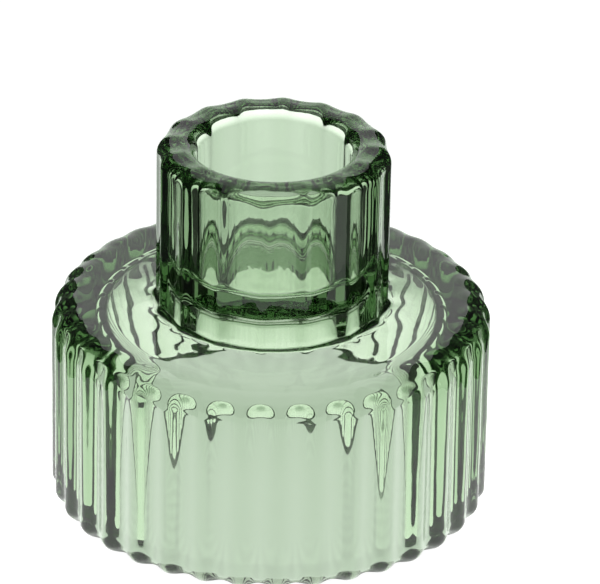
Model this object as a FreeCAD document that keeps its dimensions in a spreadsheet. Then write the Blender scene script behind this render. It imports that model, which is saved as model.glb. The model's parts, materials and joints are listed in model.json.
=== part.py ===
"""Pressed-glass candlestick: a ribbed drum-shaped base with a fluted candle collar on its flat shoulder.

The glass is one pressing.  A mould forms the outside: upright round-bottomed channels with narrow ribs
between them down the side of the base, and shallow concave flutes round the collar.  A plunger from above
leaves the blind round socket for a dinner candle.  One from below leaves the hollow under the base, with
a smaller recess in its ceiling.  Between the socket and the recess the glass is solid.

Frame: millimetres, +Z up, origin on the axis at the foot.  The front is -Y, and a turn is in degrees
from the front, anticlockwise as seen from above.
"""

import FreeCAD, Part  # noqa: E401  FreeCAD has to come first
import math
import os
import re

import Sketcher

# Driving dimensions, in millimetres, degrees and counts: alias, value, what it is.
SIZES = [
    ("total_height", 57.9, "foot to lip"),
    ("base_height", 32.1, "foot to flat shoulder"),
    ("base_radius", 33.1, "rib crests between the base's channels"),
    ("channel_count", 36, "upright channels round the base"),
    ("channel_radius", 3.4, "round of one channel"),
    ("channel_depth", 0.95, "crest circle to the bottom of a channel"),
    ("channel_turn", 7.65, "turn of the first channel"),
    ("channel_top", 28.6, "foot to the top of a channel's arched end"),
    ("channel_end_round", 3.3, "round of a channel's arched end"),
    ("shoulder_round", 4.2, "round of the base's top edge"),
    ("foot_round", 2.2, "round of the foot's outer edge"),
    ("collar_radius", 17.55, "crests between the collar's flutes"),
    ("flute_count", 16, "concave flutes round the collar"),
    ("flute_radius", 9.0, "round of one flute"),
    ("flute_depth", 0.8, "crest circle to the bottom of a flute"),
    ("flute_turn", 6.45, "turn of the first flute"),
    ("lip_round", 2.8, "round of the lip's outer edge"),
    ("socket_radius", 11.5, "candle socket, for a 22 mm dinner candle"),
    ("socket_floor", 38.1, "foot to the socket's floor"),
    ("socket_floor_round", 2.0, "round between the socket's wall and floor"),
    ("socket_mouth_round", 2.8, "round of the lip's inner edge"),
    ("hollow_ceiling_radius", 26.4, "hollow under the base, at its ceiling"),
    ("hollow_foot_radius", 27.0, "hollow under the base, at the foot"),
    ("hollow_height", 27.9, "foot to the outer edge of the hollow's ceiling"),
    ("hollow_rise", 1.4, "rise of the ceiling from its outer edge to the recess"),
    ("hollow_round", 2.2, "round between the hollow's wall and ceiling"),
    ("hollow_mouth_round", 1.3, "round of the foot's inner edge"),
    ("recess_mouth_radius", 12.2, "recess under the socket, at the hollow's ceiling"),
    ("recess_top_radius", 11.2, "recess under the socket, at its top"),
    ("recess_height", 34.9, "foot to the recess's top"),
    ("recess_mouth_round", 1.2, "round of the recess's mouth"),
    ("recess_round", 1.6, "round between the recess's wall and top"),
    ("overcut", 4.0, "how far a cut's outline stands clear of the glass"),
]
SHEET = "Sizes"
ALIAS = re.compile(r"\b(" + "|".join(alias for alias, _, _ in SIZES) + r")\b")
CENTRE = 3

doc = FreeCAD.newDocument("candlestick")
sheet = doc.addObject("Spreadsheet::Sheet", SHEET)


def fill_sheet():
    """Put every driving dimension in the sheet under its alias."""
    for row, (alias, value, meaning) in enumerate(SIZES, start=1):
        sheet.set(f"A{row}", meaning)
        sheet.set(f"B{row}", str(value))
        sheet.setAlias(f"B{row}", alias)
    doc.recompute()


def number(formula):
    """What the formula comes to with the sheet's values."""
    return float(sheet.evalExpression(formula))


def bind(thing, name, formula):
    """Drive a property or constraint by a formula in the sheet's aliases."""
    thing.setExpression(name, ALIAS.sub(SHEET + r".\1", formula))


def origin_feature(body, role):
    """The body's own origin plane or axis with that role."""
    return next(item for item in body.Origin.OriginFeatures if item.Role == role)


def new_sketch(body, name, plane, sideways="0", forward="0"):
    """An empty sketch on one of the body's origin planes, or shifted along it and off it."""
    sketch = body.newObject("Sketcher::SketchObject", name)
    sketch.AttachmentSupport = (origin_feature(body, plane), [""])
    sketch.MapMode = "FlatFace"
    bind(sketch, "AttachmentOffset.Base.x", sideways)
    bind(sketch, "AttachmentOffset.Base.z", forward)
    return sketch


def dimension(sketch, kind, *where, formula):
    """Add a driving constraint whose value follows the formula."""
    index = sketch.addConstraint(Sketcher.Constraint(kind, *where, number(formula)))
    bind(sketch, f"Constraints[{index}]", formula)


def locate(sketch, geometry, point, across, up):
    """Fix a point of a sketch at two formulas from the origin."""
    for kind, formula in (("DistanceX", across), ("DistanceY", up)):
        dimension(sketch, kind, -1, 1, geometry, point, formula=formula)


def add_circle(sketch, across, up, radius):
    """A circle with its centre and radius driven by formulas."""
    middle = FreeCAD.Vector(number(across), number(up))
    circle = sketch.addGeometry(Part.Circle(middle, FreeCAD.Vector(0, 0, 1), number(radius)))
    locate(sketch, circle, CENTRE, across, up)
    dimension(sketch, "Radius", circle, formula=radius)


def tangent_points(before, corner, after, radius):
    """Start, middle and end of the arc that rounds a corner, and which way it runs."""
    back = (before - corner).normalize()
    ahead = (after - corner).normalize()
    half_angle = back.getAngle(ahead) / 2
    inward = (back + ahead).normalize()
    reach = radius / math.tan(half_angle)
    nearest = radius / math.sin(half_angle) - radius
    counterclockwise = back.cross(ahead).z < 0
    return corner + back * reach, corner + inward * nearest, corner + ahead * reach, counterclockwise


def add_outline(sketch, corners):
    """A closed outline through corners given as (across, up) or (across, up, round) formulas."""
    spots = [FreeCAD.Vector(number(corner[0]), number(corner[1])) for corner in corners]
    radii = [number(corner[2]) if len(corner) > 2 else 0 for corner in corners]
    count = len(corners)
    entries, exits, ways = [], [], []
    for i in range(count):
        enter = leave = spots[i]
        middle = way = None
        if radii[i]:
            enter, middle, leave, way = tangent_points(
                spots[i - 1], spots[i], spots[(i + 1) % count], radii[i]
            )
        entries.append(enter)
        exits.append(leave)
        ways.append((middle, way))
    lines = [
        sketch.addGeometry(Part.LineSegment(exits[i], entries[(i + 1) % count])) for i in range(count)
    ]
    for i, corner in enumerate(corners):
        coming, going = lines[i - 1], lines[i]
        middle, counterclockwise = ways[i]
        if middle is None:
            sketch.addConstraint(Sketcher.Constraint("Coincident", coming, 2, going, 1))
            locate(sketch, going, 1, corner[0], corner[1])
            continue
        arc = sketch.addGeometry(Part.Arc(entries[i], middle, exits[i]))
        first, last = (1, 2) if counterclockwise else (2, 1)
        sketch.addConstraint(Sketcher.Constraint("Tangent", coming, 2, arc, first))
        sketch.addConstraint(Sketcher.Constraint("Tangent", arc, last, going, 1))
        dimension(sketch, "Radius", arc, formula=corner[2])
        sharp = sketch.addGeometry(Part.Point(spots[i]), True)
        sketch.addConstraint(Sketcher.Constraint("PointOnObject", sharp, 1, coming))
        sketch.addConstraint(Sketcher.Constraint("PointOnObject", sharp, 1, going))
        locate(sketch, sharp, 1, corner[0], corner[1])


def turn(body, kind, name, corners, sideways="0", forward="0"):
    """Turn a half-section about the axis or an upright line beside it; a Groove cuts away."""
    sketch = new_sketch(body, name + "Section", "XZ_Plane", sideways, forward)
    add_outline(sketch, corners)
    feature = body.newObject("PartDesign::" + kind, name)
    feature.Profile = sketch
    feature.ReferenceAxis = (sketch, ["V_Axis"])
    feature.Angle = 360
    doc.recompute()
    return feature


def repeat(body, feature, count):
    """Repeat a feature evenly round the axis, and make the result the body's shape."""
    pattern = body.newObject("PartDesign::PolarPattern", feature.Name + "s")
    pattern.Originals = [feature]
    pattern.Axis = (origin_feature(body, "Z_Axis"), [""])
    pattern.Angle = 360
    bind(pattern, "Occurrences", count)
    body.Tip = pattern
    doc.recompute()


def add_core(body):
    """The plain turned shape: the drum of the base, and the collar on it with its rounded lip."""
    turn(body, "Revolution", "Core", [
        ("0", "0"),
        ("base_radius", "0", "foot_round"),
        ("base_radius", "base_height", "shoulder_round"),
        ("collar_radius", "base_height"),
        ("collar_radius", "total_height", "lip_round"),
        ("0", "total_height"),
    ])


def cut_channels(body):
    """The base's channels: upright round cuts, open at the foot and arched over at the top."""
    channel_centre = "(base_radius - channel_depth + channel_radius)"
    channel = turn(
        body,
        "Groove",
        "Channel",
        [
            ("0", "-overcut"),
            ("channel_radius", "-overcut"),
            ("channel_radius", "channel_top", "channel_end_round"),
            ("0", "channel_top"),
        ],
        sideways=channel_centre + " * sin(channel_turn)",
        forward=channel_centre + " * cos(channel_turn)",
    )
    repeat(body, channel, "channel_count")


def cut_flutes(body):
    """The collar's flutes, cut down from the lip to the shoulder."""
    sketch = new_sketch(body, "FluteSection", "XY_Plane", forward="total_height")
    flute_centre = "(collar_radius - flute_depth + flute_radius)"
    across = flute_centre + " * sin(flute_turn)"
    ahead = "-" + flute_centre + " * cos(flute_turn)"
    add_circle(sketch, across, ahead, "flute_radius")
    flute = body.newObject("PartDesign::Pocket", "Flute")
    flute.Profile = sketch
    bind(flute, "Length", "total_height - base_height")
    doc.recompute()
    repeat(body, flute, "flute_count")


def cut_socket(body):
    """The blind candle socket, with a rounded mouth and a rounded floor corner."""
    turn(body, "Groove", "Socket", [
        ("0", "socket_floor"),
        ("socket_radius", "socket_floor", "socket_floor_round"),
        ("socket_radius", "total_height", "socket_mouth_round"),
        ("socket_radius + overcut", "total_height"),
        ("socket_radius + overcut", "total_height + overcut"),
        ("0", "total_height + overcut"),
    ])


def cut_hollow(body):
    """The hollow under the base, with a gently rising ceiling, and the recess up under the socket."""
    turn(body, "Groove", "Hollow", [
        ("0", "-overcut"),
        ("hollow_foot_radius + overcut", "-overcut"),
        ("hollow_foot_radius + overcut", "0"),
        ("hollow_foot_radius", "0", "hollow_mouth_round"),
        ("hollow_ceiling_radius", "hollow_height", "hollow_round"),
        ("recess_mouth_radius", "hollow_height + hollow_rise", "recess_mouth_round"),
        ("recess_top_radius", "recess_height", "recess_round"),
        ("0", "recess_height"),
    ])


def make_glass():
    """The whole pressing."""
    body = doc.addObject("PartDesign::Body", "Glass")
    body.Label = "glass_candlestick"
    body.Placement = FreeCAD.Placement()
    for step, grows in (
        (add_core, True),
        (cut_channels, False),
        (cut_flutes, False),
        (cut_socket, False),
        (cut_hollow, False),
    ):
        before = body.Shape.Volume if body.Tip else 0
        step(body)
        if (body.Shape.Volume > before) != grows:
            raise RuntimeError(f"{step.__name__} did not change the glass the right way")
        print(f"{step.__name__}: {body.Shape.Volume / 1000:.2f} cm3")
    return body


def check(body):
    """Stop if anything in the document failed or the glass is not one valid solid."""
    for item in doc.Objects:
        if {"Invalid", "Error"} & set(item.State):
            raise RuntimeError(f"{item.Label} did not compute")
        if item.isDerivedFrom("Sketcher::SketchObject") and item.solve() != 0:
            raise RuntimeError(f"{item.Label} does not solve")
    shape = body.Shape
    if shape.isNull() or not shape.isValid() or len(shape.Solids) != 1:
        raise RuntimeError("the glass is not one valid solid")


fill_sheet()
glass = make_glass()
doc.recompute()
check(glass)
os.makedirs("parts", exist_ok=True)
glass.Shape.exportStep(f"parts/{glass.Label}.step")
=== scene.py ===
"""A green pressed-glass candlestick on a pale floor.

The CAD part gives the size.  The glass is rebuilt here as one fine mesh: a turned section with upright
channels pressed into the side of its base and flutes into its collar, softened as fire-polished glass is.
Turns are in degrees from the front (-Y), anticlockwise as seen from above.
"""

import json
import math

import bpy
import numpy as np
from mathutils import Matrix, Vector


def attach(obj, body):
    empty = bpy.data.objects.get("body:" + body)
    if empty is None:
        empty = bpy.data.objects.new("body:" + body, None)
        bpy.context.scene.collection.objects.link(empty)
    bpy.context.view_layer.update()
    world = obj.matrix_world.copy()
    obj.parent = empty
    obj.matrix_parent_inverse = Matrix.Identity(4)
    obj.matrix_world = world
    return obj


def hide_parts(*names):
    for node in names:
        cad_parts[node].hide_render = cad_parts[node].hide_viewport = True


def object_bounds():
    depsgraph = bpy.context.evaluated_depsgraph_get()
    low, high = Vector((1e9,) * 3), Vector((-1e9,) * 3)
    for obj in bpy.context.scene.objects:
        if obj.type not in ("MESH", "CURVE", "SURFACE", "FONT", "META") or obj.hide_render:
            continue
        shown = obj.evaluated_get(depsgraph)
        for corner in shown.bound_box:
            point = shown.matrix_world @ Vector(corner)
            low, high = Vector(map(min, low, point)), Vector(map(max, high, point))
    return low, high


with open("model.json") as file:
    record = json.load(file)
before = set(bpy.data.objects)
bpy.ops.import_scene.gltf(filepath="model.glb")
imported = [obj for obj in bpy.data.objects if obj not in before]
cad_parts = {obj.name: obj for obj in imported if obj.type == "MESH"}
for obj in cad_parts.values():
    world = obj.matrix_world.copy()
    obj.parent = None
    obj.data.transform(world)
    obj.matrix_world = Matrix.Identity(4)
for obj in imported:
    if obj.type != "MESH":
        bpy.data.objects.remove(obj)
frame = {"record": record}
cad_low, cad_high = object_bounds()

MM = 0.001
NODE = "glass_candlestick"

# ---------------------------------------------------------------- sizes of the glass, in millimetres

SOCKET = next(m for m in frame["record"]["mounts"] if m["name"] == "candle_socket")
TOTAL_HEIGHT = cad_high.z / MM  # foot to lip
BASE_CREST = cad_high.x / MM  # crests between the base's channels
BASE_HEIGHT = 32.1  # foot to flat shoulder
SHOULDER_ROUND = 4.2
FOOT_ROUND = 2.2
CHANNEL_COUNT = 36
CHANNEL_TURN = 7.65  # turn of the first channel
CHANNEL_CUT = 3.4  # round of a channel
CHANNEL_DEPTH = 0.95
CHANNEL_SOFTNESS = 1.2  # degrees the edges are softened over
CHANNEL_TOP = 28.8  # foot to the arched end
CHANNEL_FOOT = 1.0  # where the channels start to run out
CHANNEL_WAVE = 0.2  # slight wave of the whole wall with the channels
WAVE_FADE = (3, 8)  # distances past the channels' ends over which that wave dies out
ARCH_STRETCH = 0.85  # under 1 draws the arched ends out
CUT_EASE = 0.3  # softens the arched ends
COLLAR_CREST = 17.55  # crests between the collar's flutes
COLLAR_FILLET = 0.8
FLUTE_COUNT = 16
FLUTE_TURN = 6.45  # turn of the first flute
FLUTE_CUT = 9.0  # round of a flute
FLUTE_DEPTH = 0.95
FLUTE_SOFTNESS = 1.8  # degrees the edges are softened over
LIP_SHARE = 0.5  # part of the flutes' depth that reaches over the lip
LIP_FADE = (0.42, 3.3)  # distances below the lip over which the rest of it comes in
SHOULDER_SHARE = 0.2  # part of the flutes' depth that reaches onto the shoulder
SHOULDER_FADE = (0.2, 4)  # distances from the collar over which that dies out
LIP_ROUND = 2.8
SOCKET_RADIUS = SOCKET["dims"]["r_mm"]
SOCKET_FLOOR = 38.1  # foot to the socket's floor
SOCKET_FLOOR_ROUND = 2.0
SOCKET_MOUTH_ROUND = 2.8
HOLLOW_CEILING_RADIUS = 26.4
HOLLOW_FOOT_RADIUS = 27.0
HOLLOW_HEIGHT = 27.9  # foot to the edge of the ceiling
HOLLOW_ROUND = 2.2
HOLLOW_RISE = 1.6  # swell of the ceiling
HOLLOW_MOUTH_ROUND = 1.3
FOOT_INSIDE = HOLLOW_FOOT_RADIUS + 0.8  # where the channels' last trace under the foot begins
FOOT_FADE = 1.5  # distance over which it comes in
RECESS_MOUTH_RADIUS = 12.2
RECESS_TOP_RADIUS = 11.2
RECESS_HEIGHT = 34.9  # foot to the recess's top
RECESS_ROUND = 1.6
RECESS_MOUTH_ROUND = 1.2
UNEVENNESS = 0.006  # in or out, for each wave
UNEVEN_WAVES = (2, 3, 5, 7)  # waves in one turn
UNEVEN_TWIST = 0.1  # radians of turn for each millimetre along the section
UNEVEN_START = 2.4  # radians
EVEN_RADIUS = 6  # within it the waves die out towards the axis
EVEN_HEIGHT = 2  # below it the waves die out towards the floor
ON_FLOOR = 1e-6  # points lower than this stand on the floor

AROUND = 864  # points in one ring of the mesh
STEP = 0.4  # between rings


# ---------------------------------------------------------------- the section


def rounded_path(corners):
    """Points along a path through (across, up, round) corners, with true arcs in finer steps."""
    spots = [np.array(corner[:2], float) for corner in corners]
    path = [spots[0]]
    for before, corner, after, (_, _, radius) in zip(spots, spots[1:], spots[2:], corners[1:-1]):
        back = (before - corner) / np.linalg.norm(before - corner)
        ahead = (after - corner) / np.linalg.norm(after - corner)
        half = math.acos(float(back @ ahead)) / 2
        inward = (back + ahead) / np.linalg.norm(back + ahead)
        centre = corner + inward * radius / math.sin(half)
        start = corner + back * radius / math.tan(half) - centre
        end = corner + ahead * radius / math.tan(half) - centre
        sweep = math.pi - 2 * half
        add_straight(path, centre + start)
        steps = max(6, math.ceil(sweep * radius / STEP * 2))
        for i in range(1, steps + 1):
            share = i / steps
            point = start * math.sin((1 - share) * sweep) + end * math.sin(share * sweep)
            path.append(centre + point / math.sin(sweep))
    add_straight(path, spots[-1])
    return np.array(path)


def add_straight(path, end):
    """Carry the path on in a straight line, in even short steps."""
    start = path[-1]
    steps = max(1, math.ceil(np.linalg.norm(end - start) / STEP))
    path.extend(start + (end - start) * i / steps for i in range(1, steps + 1))


def softened(values, sigma):
    """Values round the full circle, smoothed as if by a bell curve that many degrees wide."""
    turns = np.fft.rfftfreq(len(values), 1 / len(values))
    bell = np.exp(-0.5 * (turns * math.radians(sigma)) ** 2)
    return np.fft.irfft(np.fft.rfft(values) * bell, len(values))


def smooth_step(value, low, high):
    """0 below low, 1 above high, and an even ease between."""
    share = min(1, max(0, (value - low) / (high - low)))
    return share * share * (3 - 2 * share)


def cuts(angles, count, turn, crest, cut_radius, depth, beyond=0):
    """How deep round-bottomed cuts go at each angle; beyond their end they close like a ball."""
    pitch = 360 / count
    off = np.radians((angles - turn + pitch / 2) % pitch - pitch / 2)
    centre = crest - depth + cut_radius
    room = cut_radius**2 - (centre * np.sin(off)) ** 2 - (ARCH_STRETCH * beyond) ** 2
    reach = centre * np.cos(off) - np.sqrt(np.maximum(room, 0))
    deep = np.where(room > 0, np.maximum(crest - reach, 0), 0)
    return np.hypot(deep, CUT_EASE) - CUT_EASE


def channel_relief(angles, along, top, foot):
    """Depth of the base's upright channels at a distance along the section."""
    beyond = max(0, top - along, along - foot)
    channels = cuts(angles, CHANNEL_COUNT, CHANNEL_TURN, BASE_CREST, CHANNEL_CUT, CHANNEL_DEPTH, beyond)
    wave = 0.5 + 0.5 * np.cos(np.radians(angles - CHANNEL_TURN) * CHANNEL_COUNT)
    wave *= CHANNEL_WAVE * (1 - smooth_step(beyond, *WAVE_FADE))
    return softened(channels, CHANNEL_SOFTNESS) + wave


def outside_path():
    """From the middle of the socket's floor, over the lip, down to the foot and up into the hollow."""
    return rounded_path([
        (0, SOCKET_FLOOR, 0),
        (SOCKET_RADIUS, SOCKET_FLOOR, SOCKET_FLOOR_ROUND),
        (SOCKET_RADIUS, TOTAL_HEIGHT, SOCKET_MOUTH_ROUND),
        (COLLAR_CREST, TOTAL_HEIGHT, LIP_ROUND),
        (COLLAR_CREST, BASE_HEIGHT, COLLAR_FILLET),
        (BASE_CREST, BASE_HEIGHT, SHOULDER_ROUND),
        (BASE_CREST, 0, FOOT_ROUND),
        (HOLLOW_FOOT_RADIUS, 0, HOLLOW_MOUTH_ROUND),
        (HOLLOW_CEILING_RADIUS, HOLLOW_HEIGHT, HOLLOW_ROUND),
        (RECESS_MOUTH_RADIUS, HOLLOW_HEIGHT, RECESS_MOUTH_ROUND),
        (RECESS_TOP_RADIUS, RECESS_HEIGHT, RECESS_ROUND),
        (0, RECESS_HEIGHT, 0),
    ])


def domed(across, up):
    """Height of a point under the hollow's ceiling, which swells upward like a shallow cushion."""
    swell = 1 - min(1, across / HOLLOW_CEILING_RADIUS) ** 3
    fade = min(1, (RECESS_HEIGHT - up) / (RECESS_HEIGHT - HOLLOW_HEIGHT))
    return up + HOLLOW_RISE * swell * fade


def uneven(angles, along):
    """The slight waviness that pressed glass keeps, in millimetres in or out."""
    turn = np.radians(angles) + UNEVEN_TWIST * along + UNEVEN_START
    return UNEVENNESS * sum(np.sin(waves * turn) for waves in UNEVEN_WAVES)


def flute_share(across, up):
    """How much of the flutes' depth shows at a point of the lip, the collar or the shoulder."""
    over_lip = smooth_step(across, SOCKET_RADIUS + 1, COLLAR_CREST - LIP_ROUND)
    down_side = smooth_step(TOTAL_HEIGHT - up, *LIP_FADE)
    collar = LIP_SHARE * over_lip + (1 - LIP_SHARE) * down_side
    shoulder = smooth_step(across - COLLAR_CREST, 0, COLLAR_FILLET)
    away = smooth_step(across - COLLAR_CREST, *SHOULDER_FADE)
    return collar * (1 - (1 - SHOULDER_SHARE) * shoulder) * (1 - away)


def glass_rings():
    """Every ring of the mesh as an array of points, from the socket's floor to the recess's top."""
    path = outside_path()
    lengths = np.concatenate([[0], np.cumsum(np.linalg.norm(np.diff(path, axis=0), axis=1))])
    ahead = np.gradient(path, lengths, axis=0)
    angles = np.arange(AROUND) * 360 / AROUND
    around = np.radians(angles)
    lip = int(np.argmax(path[:, 1]))
    foot = lip + int(np.argmax(path[lip:, 1] < ON_FLOOR))
    wall = [i for i in range(lip, foot) if path[i, 0] > BASE_CREST - FOOT_ROUND]
    channel_top = next(lengths[i] for i in wall if path[i, 1] < CHANNEL_TOP)
    channel_foot = next(lengths[i] for i in wall if path[i, 1] < CHANNEL_FOOT)
    flutes = cuts(angles, FLUTE_COUNT, FLUTE_TURN, COLLAR_CREST, FLUTE_CUT, FLUTE_DEPTH)
    flutes = softened(flutes, FLUTE_SOFTNESS)
    rings = []
    for i, ((across, up), (lean, climb)) in enumerate(zip(path, ahead)):
        size = math.hypot(lean, climb)
        out, lift = -climb / size, lean / size
        relief = -uneven(angles, lengths[i])
        relief *= min(1, across / EVEN_RADIUS) * smooth_step(up, 0, EVEN_HEIGHT)
        if i < foot and across > SOCKET_RADIUS + 1:
            relief += flutes * flute_share(across, up)
        if i > lip and across > FOOT_INSIDE:
            share = smooth_step(across, FOOT_INSIDE, FOOT_INSIDE + FOOT_FADE)
            relief += share * channel_relief(angles, lengths[i], channel_top, channel_foot)
        if i > foot and across < HOLLOW_CEILING_RADIUS:
            up = domed(across, up)
        radius = across - out * relief
        height = up - lift * relief
        rings.append(np.stack([radius * np.sin(around), -radius * np.cos(around), height], 1) * MM)
    return rings


def make_glass():
    """The glass as one closed mesh of rings; a single point stands for the ring at each end."""
    rings = glass_rings()[1:-1]
    points = np.concatenate([*rings, [[0, 0, SOCKET_FLOOR * MM], [0, 0, RECESS_HEIGHT * MM]]])
    first_middle, last_middle = len(points) - 2, len(points) - 1
    here = np.arange(AROUND)
    after = (here + 1) % AROUND
    faces = []
    for i in range(len(rings) - 1):
        low, high = i * AROUND, (i + 1) * AROUND
        faces.extend(np.stack([low + here, high + here, high + after, low + after], 1).tolist())
    last = (len(rings) - 1) * AROUND
    faces.extend([first_middle, a, b] for a, b in zip(here.tolist(), after.tolist()))
    faces.extend([last_middle, last + b, last + a] for a, b in zip(here.tolist(), after.tolist()))
    mesh = bpy.data.meshes.new("candlestick")
    mesh.from_pydata(points.tolist(), [], faces)
    mesh.shade_smooth()
    mesh.update()
    glass = bpy.data.objects.new("candlestick", mesh)
    bpy.context.scene.collection.objects.link(glass)
    return glass


# ---------------------------------------------------------------- materials

GLASS_IOR = 1.52
GLASS_GREEN = (0.24, 0.46, 0.16, 1)
GLASS_DENSITY = 100
FLOOR_GREY = (0.1, 0.1, 0.1, 1)
# colour of the painted green light on the floor and on the black cards
PAINTED_GREEN_LIGHT = (0.9, 1, 0.89, 1)
CARD_BLACK = (0.02, 0.02, 0.02, 1)
NOISE_RANGE = (0.3, 0.7)  # where nearly all of a noise texture's values lie


def new_material(name):
    """A material with its node lists and its surface shader."""
    material = bpy.data.materials.new(name)
    material.use_nodes = True
    nodes, links = material.node_tree.nodes, material.node_tree.links
    return material, nodes, links, nodes["Principled BSDF"]


def add_ease(nodes, links, value, start, end, low, high):
    """A node that eases from low to high as the value goes from start to end."""
    ease = nodes.new("ShaderNodeMapRange")
    ease.interpolation_type = "SMOOTHSTEP"
    ease.inputs["From Min"].default_value = start
    ease.inputs["From Max"].default_value = end
    ease.inputs["To Min"].default_value = low
    ease.inputs["To Max"].default_value = high
    links.new(value, ease.inputs["Value"])
    return ease.outputs["Result"]


def add_math(nodes, links, operation, one, other=0):
    """A node that works on one value and another, or a plain number."""
    step = nodes.new("ShaderNodeMath")
    step.operation = operation
    links.new(one, step.inputs[0])
    if isinstance(other, (int, float)):
        step.inputs[1].default_value = other
    else:
        links.new(other, step.inputs[1])
    return step.outputs["Value"]


def add_fine_grain(nodes, links, surface, across, deep, roughest):
    """Faint bumps, so many metres across and deep, and a roughness that wanders up to the roughest."""
    where = nodes.new("ShaderNodeTexCoord")
    noise = nodes.new("ShaderNodeTexNoise")
    noise.inputs["Scale"].default_value = 1 / across
    noise.inputs["Detail"].default_value = 1.0
    links.new(where.outputs["Object"], noise.inputs["Vector"])
    bump = nodes.new("ShaderNodeBump")
    bump.inputs["Strength"].default_value = 1.0
    bump.inputs["Distance"].default_value = deep
    links.new(noise.outputs["Fac"], bump.inputs["Height"])
    links.new(bump.outputs["Normal"], surface.inputs["Normal"])
    smoothest = surface.inputs["Roughness"].default_value
    rough = add_ease(nodes, links, noise.outputs["Fac"], *NOISE_RANGE, smoothest, roughest)
    links.new(rough, surface.inputs["Roughness"])


def glass_material():
    """Clear glass that takes up red and blue as light goes through it, with a fire-polished skin."""
    material, nodes, links, surface = new_material("green_glass")
    surface.inputs["Base Color"].default_value = (1, 1, 1, 1)
    surface.inputs["Roughness"].default_value = 0.0
    surface.inputs["IOR"].default_value = GLASS_IOR
    surface.inputs["Transmission Weight"].default_value = 1.0
    add_fine_grain(nodes, links, surface, across=4 * MM, deep=0.03 * MM, roughest=0.01)
    inside = nodes.new("ShaderNodeVolumeAbsorption")
    inside.inputs["Color"].default_value = GLASS_GREEN
    inside.inputs["Density"].default_value = GLASS_DENSITY
    links.new(inside.outputs["Volume"], nodes["Material Output"].inputs["Volume"])
    return material


def add_painted_streaks(nodes, links, position, far):
    """Painted light and shade on the floor near the channels, standing for what they throw there, more
    and less in turn.
    """
    split = nodes.new("ShaderNodeSeparateXYZ")
    links.new(position, split.inputs["Vector"])
    turn = add_math(nodes, links, "ARCTAN2", split.outputs["X"], split.outputs["Y"])
    wave = add_math(nodes, links, "COSINE", add_math(nodes, links, "MULTIPLY", turn, CHANNEL_COUNT))
    strength = add_ease(nodes, links, far, *PAINTED_STREAK_EDGE, 0, PAINTED_STREAKS)
    return add_math(nodes, links, "ADD", add_math(nodes, links, "MULTIPLY", wave, strength), 1)


def floor_material():
    """White paper on a light table whose glow is painted with light and shade: a painted shadow where the
    foot rests, a painted pool of light round it, even further out, painted green light under the glass
    and painted streaks near the channels.

    The camera itself sees it as plain white; the glass refracts the rest.
    """
    material, nodes, links, surface = new_material("floor")
    surface.inputs["Base Color"].default_value = FLOOR_GREY
    surface.inputs["Roughness"].default_value = 0.8
    add_fine_grain(nodes, links, surface, across=1 * MM, deep=0.02 * MM, roughest=0.95)
    where = nodes.new("ShaderNodeNewGeometry")
    reach = nodes.new("ShaderNodeVectorMath")
    reach.operation = "LENGTH"
    links.new(where.outputs["Position"], reach.inputs[0])
    far = reach.outputs["Value"]
    ray = nodes.new("ShaderNodeLightPath")
    seen = ray.outputs["Is Camera Ray"]
    # painted green light under the hollow, dropping to a painted shadow under the foot
    under = add_ease(nodes, links, far, *PAINTED_SHADOW_EDGE, PAINTED_GLASS_LIGHT, PAINTED_FOOT_SHADOW)
    # painted streaks of light and shade round the glass, one pair for each channel
    streaks = add_painted_streaks(nodes, links, where.outputs["Position"], far)
    under = add_math(nodes, links, "MULTIPLY", under, streaks)
    # a painted pool of light round the glass, falling to the even floor further out
    outside = add_ease(nodes, links, far, *PAINTED_POOL_EDGE, 0, PAINTED_POOL_LIGHT)
    fall = add_ease(nodes, links, far, *PAINTED_POOL_FAR_EDGE, 0, PAINTED_POOL_LIGHT - FAR_FLOOR)
    light = add_math(nodes, links, "MAXIMUM", under, add_math(nodes, links, "SUBTRACT", outside, fall))
    links.new(add_math(nodes, links, "MAXIMUM", light, seen), surface.inputs["Emission Strength"])
    # painted green light under the glass and on the far floor; plain white between them and wherever the
    # camera looks
    near = add_ease(nodes, links, far, *PAINTED_GREEN_EDGE, 0, 1)
    white = add_math(nodes, links, "SUBTRACT", near, add_ease(nodes, links, far, *PAINTED_POOL_FAR_EDGE, 0, 1))
    tint = nodes.new("ShaderNodeMix")
    tint.data_type = "RGBA"
    factor, green, plain = tint.inputs[0], tint.inputs[6], tint.inputs[7]
    green.default_value = PAINTED_GREEN_LIGHT
    plain.default_value = (1, 1, 1, 1)
    links.new(add_math(nodes, links, "MAXIMUM", white, seen), factor)
    links.new(tint.outputs[2], surface.inputs["Emission Color"])
    return material


def card_material():
    """Matt black card with a faint painted green glow, standing for the little green light it throws
    back.
    """
    material, _, _, surface = new_material("black_card")
    surface.inputs["Base Color"].default_value = CARD_BLACK
    surface.inputs["Roughness"].default_value = 1.0
    # painted glow: faint green light the card gives off, though it is no lamp
    surface.inputs["Emission Color"].default_value = PAINTED_GREEN_LIGHT
    surface.inputs["Emission Strength"].default_value = FLAG_PAINTED_GLOW
    return material


# ---------------------------------------------------------------- the stage

BACKDROP_EDGE = (38, 62)  # degrees to each side of straight behind, from bright to dark
BACKDROP = 1.0
OVERHEAD = 0.7
OVERHEAD_EDGE = (0.6, 0.85)  # sine of the angle above the floor, from dark to bright
ROOM = 0.22
FLAG_DISTANCE = 75 * MM
# strength of the black cards' painted green glow
FLAG_PAINTED_GLOW = 0.03
# painted green light on the floor under the hollow
PAINTED_GLASS_LIGHT = 0.81
# painted shadow on the floor under the foot
PAINTED_FOOT_SHADOW = 0.22
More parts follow.
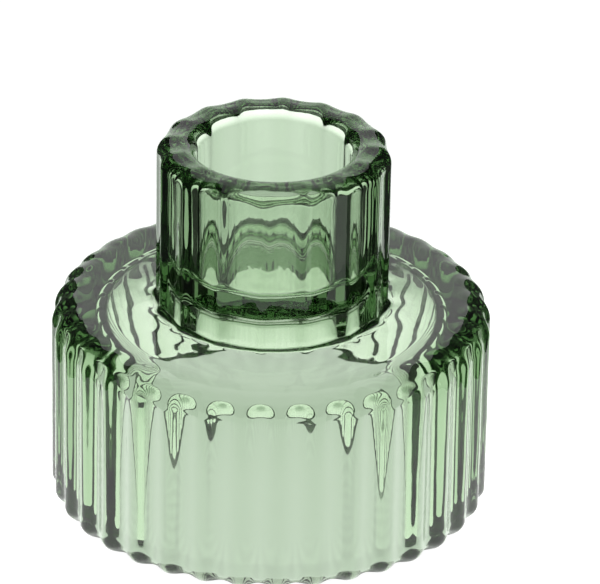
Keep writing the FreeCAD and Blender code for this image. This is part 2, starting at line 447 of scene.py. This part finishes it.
# painted pool of light on the floor round the glass
PAINTED_POOL_LIGHT = 1.7
FAR_FLOOR = 0.98
PAINTED_STREAKS = 0.05
PAINTED_STREAK_EDGE = (13 * MM, 25 * MM)  # from no painted streaks to full painted streaks
PAINTED_SHADOW_EDGE = (27.2 * MM, 28.6 * MM)  # from the painted green light under the hollow to the painted shadow under the foot
PAINTED_POOL_EDGE = (30.5 * MM, 32.5 * MM)  # from the painted shadow under the foot to the painted pool of light on the open floor
PAINTED_GREEN_EDGE = (28 * MM, 34 * MM)  # from painted green light under the glass to white
PAINTED_POOL_FAR_EDGE = (60 * MM, 100 * MM)  # from the painted pool of light near by to the even floor beyond, where the painted green light comes back
CAMERA_ELEVATION = 27.25
CAMERA_DISTANCE = 825 * MM
CAMERA_AIM = 32.8 * MM
CAMERA_ROLL = 0.9
CAMERA_LENS = 330.0
CAMERA_SENSOR = 36.0
CAMERA_SHIFT = 0.047


def make_floor():
    """A wide pale floor under the foot."""
    half = 3.0
    mesh = bpy.data.meshes.new("floor")
    corners = [(-half, -half, 0), (half, -half, 0), (half, half, 0), (-half, half, 0)]
    mesh.from_pydata(corners, [], [(0, 1, 2, 3)])
    floor = bpy.data.objects.new("floor", mesh)
    floor.data.materials.append(floor_material())
    bpy.context.scene.collection.objects.link(floor)
    return floor


def make_camera():
    """A long lens, looking down at the front."""
    elevation = math.radians(CAMERA_ELEVATION)
    target = Vector((0, 0, CAMERA_AIM))
    back = Vector((0, -math.cos(elevation), math.sin(elevation)))
    data = bpy.data.cameras.new("camera")
    data.lens = CAMERA_LENS
    data.sensor_width = CAMERA_SENSOR
    data.shift_x = CAMERA_SHIFT
    data.clip_start = 0.01
    camera = bpy.data.objects.new("camera", data)
    camera.location = target + back * CAMERA_DISTANCE
    roll = Matrix.Rotation(math.radians(CAMERA_ROLL), 3, "Z")
    camera.rotation_euler = ((-back).to_track_quat("-Z", "Y").to_matrix() @ roll).to_euler()
    bpy.context.scene.collection.objects.link(camera)
    bpy.context.scene.camera = camera


def make_light():
    """A bright backdrop behind and a soft box overhead, in a dim room; the camera itself sees white."""
    world = bpy.data.worlds.new("studio")
    world.use_nodes = True
    nodes, links = world.node_tree.nodes, world.node_tree.links
    where = nodes.new("ShaderNodeTexCoord")
    split = nodes.new("ShaderNodeSeparateXYZ")
    links.new(where.outputs["Generated"], split.inputs["Vector"])
    turn = add_math(nodes, links, "ARCTAN2", split.outputs["X"], split.outputs["Y"])
    turn = add_math(nodes, links, "ABSOLUTE", turn)
    behind = add_ease(nodes, links, turn, *map(math.radians, BACKDROP_EDGE), BACKDROP, 0)
    above = add_ease(nodes, links, split.outputs["Z"], *OVERHEAD_EDGE, 0, OVERHEAD)
    light = add_math(nodes, links, "MAXIMUM", behind, above)
    light = add_math(nodes, links, "MAXIMUM", light, ROOM)
    ray = nodes.new("ShaderNodeLightPath")
    light = add_math(nodes, links, "MAXIMUM", light, ray.outputs["Is Camera Ray"])
    background = nodes["Background"]
    background.inputs["Color"].default_value = (1, 1, 1, 1)
    links.new(light, background.inputs["Strength"])
    bpy.context.scene.world = world


def make_flag(name, across):
    """A black card standing beside the glass, out of the camera's sight, that draws its edges dark."""
    near, far, tall, gap = -60 * MM, 200 * MM, 160 * MM, 0.5 * MM
    corners = [(across, near, gap), (across, far, gap), (across, far, tall), (across, near, tall)]
    mesh = bpy.data.meshes.new(name)
    mesh.from_pydata(corners, [], [(0, 1, 2, 3)])
    mesh.materials.append(card_material())
    flag = bpy.data.objects.new(name, mesh)
    bpy.context.scene.collection.objects.link(flag)
    flag.visible_camera = False
    return flag


def set_colours():
    """Plain colour reproduction, and enough bounces for light to get through the glass."""
    scene = bpy.context.scene
    scene.view_settings.view_transform = "Standard"
    scene.view_settings.look = "None"
    scene.cycles.max_bounces = 32
    scene.cycles.transmission_bounces = 32
    scene.cycles.glossy_bounces = 16


glass = make_glass()
glass.data.materials.append(glass_material())
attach(glass, "root")
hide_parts(NODE)
make_floor()
make_flag("flag_left", -FLAG_DISTANCE)
make_flag("flag_right", FLAG_DISTANCE)
make_camera()
make_light()
set_colours()
